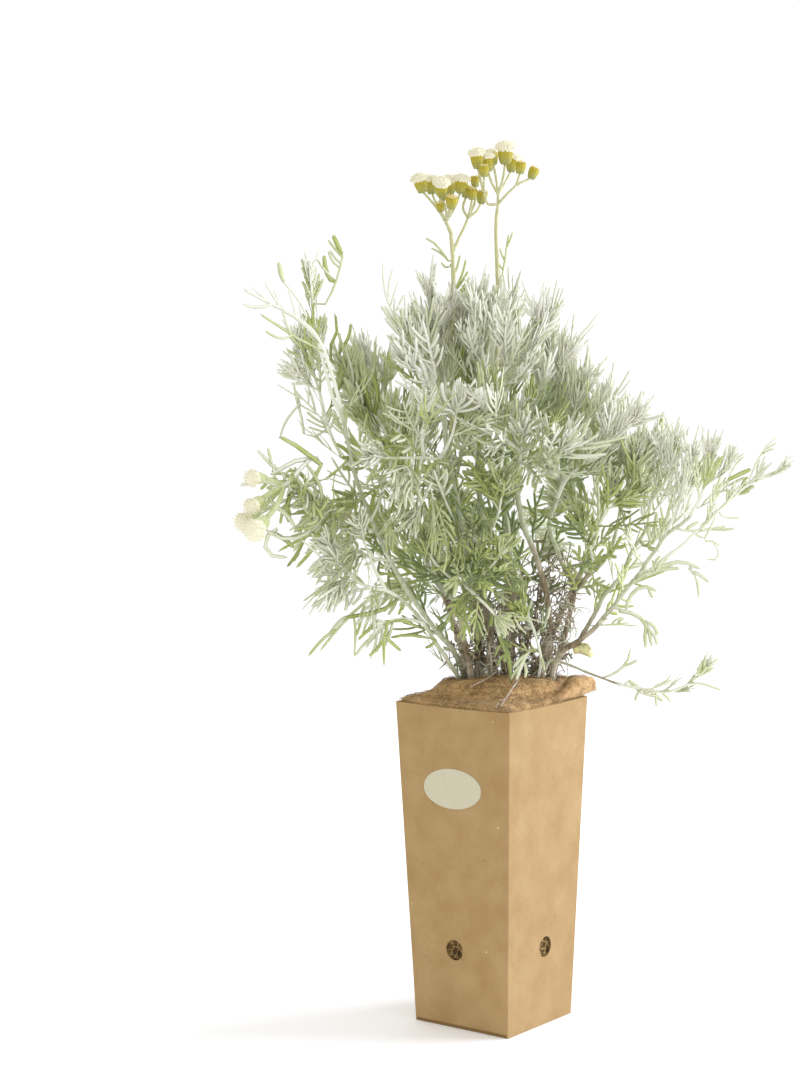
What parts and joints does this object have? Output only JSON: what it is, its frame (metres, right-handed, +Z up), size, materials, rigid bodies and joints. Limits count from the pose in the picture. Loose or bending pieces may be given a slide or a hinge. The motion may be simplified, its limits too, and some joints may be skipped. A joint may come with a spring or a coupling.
{
  "type": "potted senecio viravira",
  "caption": "Silver-leaved bush of finely cut leaves with cream flower heads, growing in a tall tapered square kraft-board pot with round vent holes and a bare oval label.",
  "frame": {"origin": "middle of the pot's flat underside", "axes": "+Z up along the pot's axis, -Y out of the labelled face, +X out of the other face that the picture shows"},
  "size_m": [0.3766, 0.3711, 0.6337],
  "materials": {
    "kraft_board": "matte brown kraft board with flecks and sharp folds",
    "label_paper": "matte cream paper, bare",
    "potting_soil": "matte dark peat with fibres",
    "fibre_felt": "matte brown fibre felt with loose hairs",
    "woody_stem": "matte grey-brown bark, felted silver higher up",
    "silver_leaf": "matte silver felt over green leaf",
    "flower_stalk": "matte yellow-green stalk with thin felt",
    "flower_head": "matte olive-yellow bracts with cream florets",
    "yellowed_leaf": "matte, thin and papery"
  },
  "bodies": {
    "root": {"corymb_left": "flower_head", "corymb_right": "flower_head", "dry_twig": "woody_stem", "fibre_mat": "fibre_felt", "flower_branch_drooping": "flower_head", "flower_stalk_left": "flower_stalk", "flower_stalk_right": "flower_stalk", "kraft_pot": "kraft_board", "paper_label": "label_paper", "root_ball": "potting_soil", "shoot_back_left": "silver_leaf", "shoot_back_left_low": "silver_leaf", "shoot_back_mid": "silver_leaf", "shoot_back_right": "silver_leaf", "shoot_far_left": "silver_leaf", "shoot_front_centre": "silver_leaf", "shoot_front_low": "silver_leaf", "shoot_front_right": "silver_leaf", "shoot_hanging_left": "silver_leaf", "shoot_left_column": "silver_leaf", "shoot_left_green": "silver_leaf", "shoot_left_peak": "silver_leaf", "shoot_left_rosette": "silver_leaf", "shoot_left_silver": "silver_leaf", "shoot_left_spread": "silver_leaf", "shoot_level_left": "silver_leaf", "shoot_low_left": "silver_leaf", "shoot_new_pale": "silver_leaf", "shoot_right_brush": "silver_leaf", "shoot_right_crown": "silver_leaf", "shoot_right_green": "silver_leaf", "shoot_right_high": "silver_leaf", "shoot_right_inside": "silver_leaf", "shoot_right_long": "silver_leaf", "shoot_right_low": "silver_leaf", "shoot_right_slanting": "silver_leaf", "shoot_top_behind_stalk": "silver_leaf", "shoot_top_beside_stalk": "silver_leaf", "shoot_top_left": "silver_leaf", "shoot_top_middle": "silver_leaf", "shoot_top_peak": "silver_leaf", "shoot_top_right_a": "silver_leaf", "shoot_top_right_b": "silver_leaf", "shoot_top_right_c": "silver_leaf", "shoot_top_slanting": "silver_leaf", "shoot_trailing": "silver_leaf", "stem_back_left": "woody_stem", "stem_back_mid": "woody_stem", "stem_back_right": "woody_stem", "stem_centre": "woody_stem", "stem_centre_left": "woody_stem", "stem_centre_right": "woody_stem", "stem_inner_right": "woody_stem", "stem_low_left": "woody_stem", "stem_mid_left": "woody_stem", "stem_right_fork": "woody_stem", "stem_right_inner": "woody_stem", "stem_tall_left": "woody_stem", "stem_trailing": "woody_stem", "yellowed_leaf": "yellowed_leaf"}
  },
  "joints": []
}
